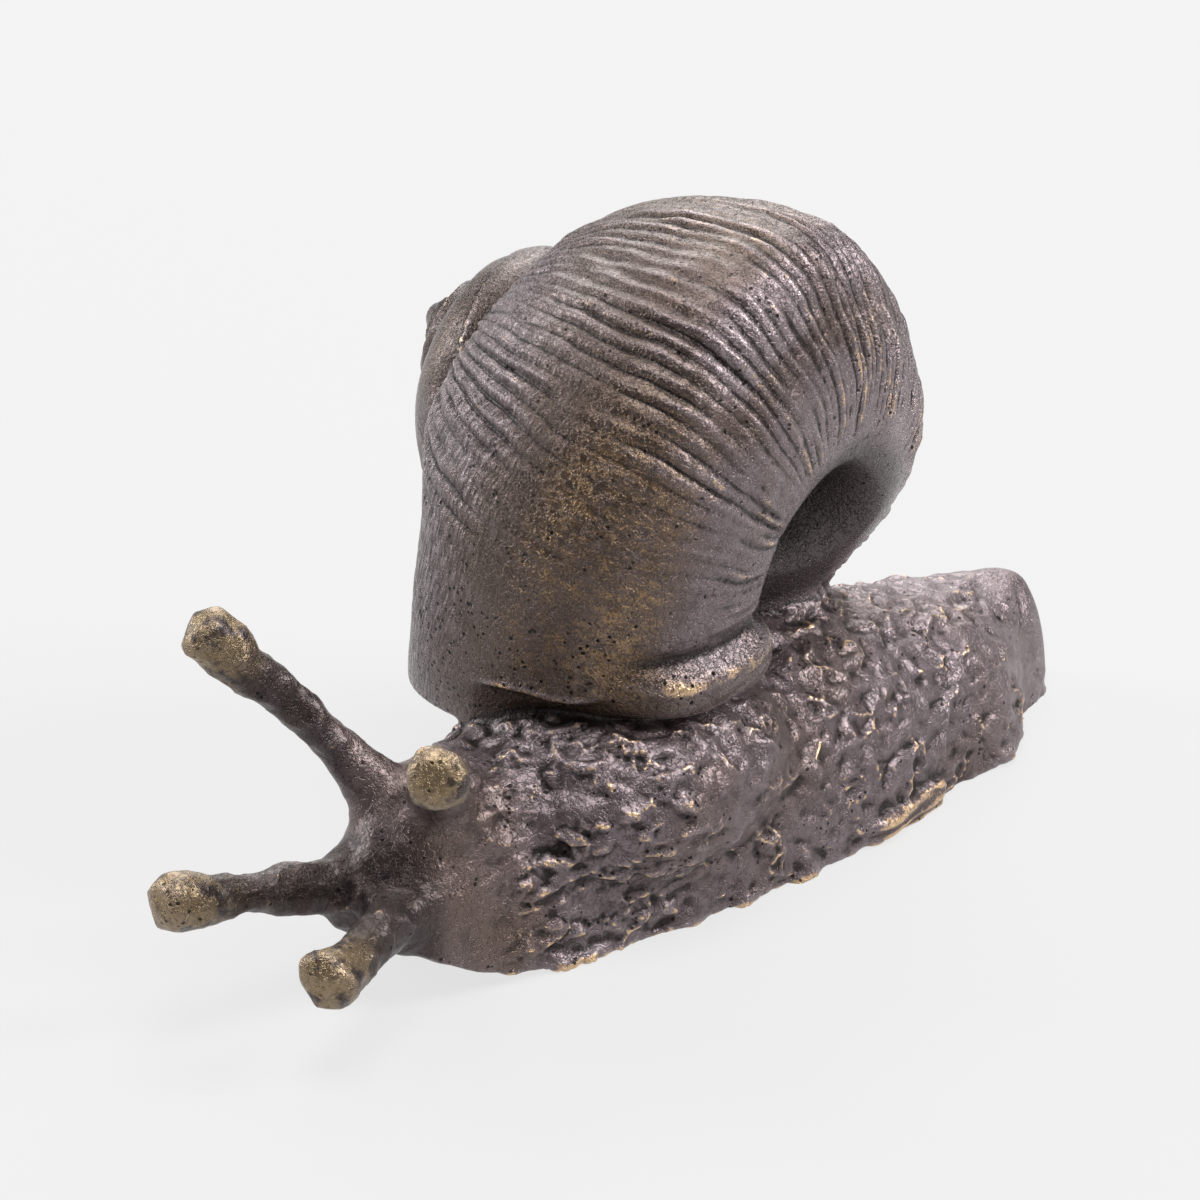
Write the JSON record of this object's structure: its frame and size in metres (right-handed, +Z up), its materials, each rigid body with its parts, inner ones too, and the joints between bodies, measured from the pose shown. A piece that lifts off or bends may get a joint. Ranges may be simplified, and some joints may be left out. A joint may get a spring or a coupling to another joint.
{
  "type": "bronze garden snail figurine",
  "caption": "One-piece patinated bronze casting of a life-size crawling garden snail: flat foot, raised head with tentacles and a coiled ribbed shell. Stands free on its foot.",
  "frame": {"origin": "middle of the whole casting's box, on the surface that the foot rests on", "axes": "+X the way the snail heads, +Y its left side (the side with the umbilicus), +Z up"},
  "size_m": [0.0904, 0.0402, 0.0491],
  "materials": {
    "patinated_bronze": "satin"
  },
  "bodies": {
    "root": {"snail_casting": "patinated_bronze"}
  },
  "joints": []
}
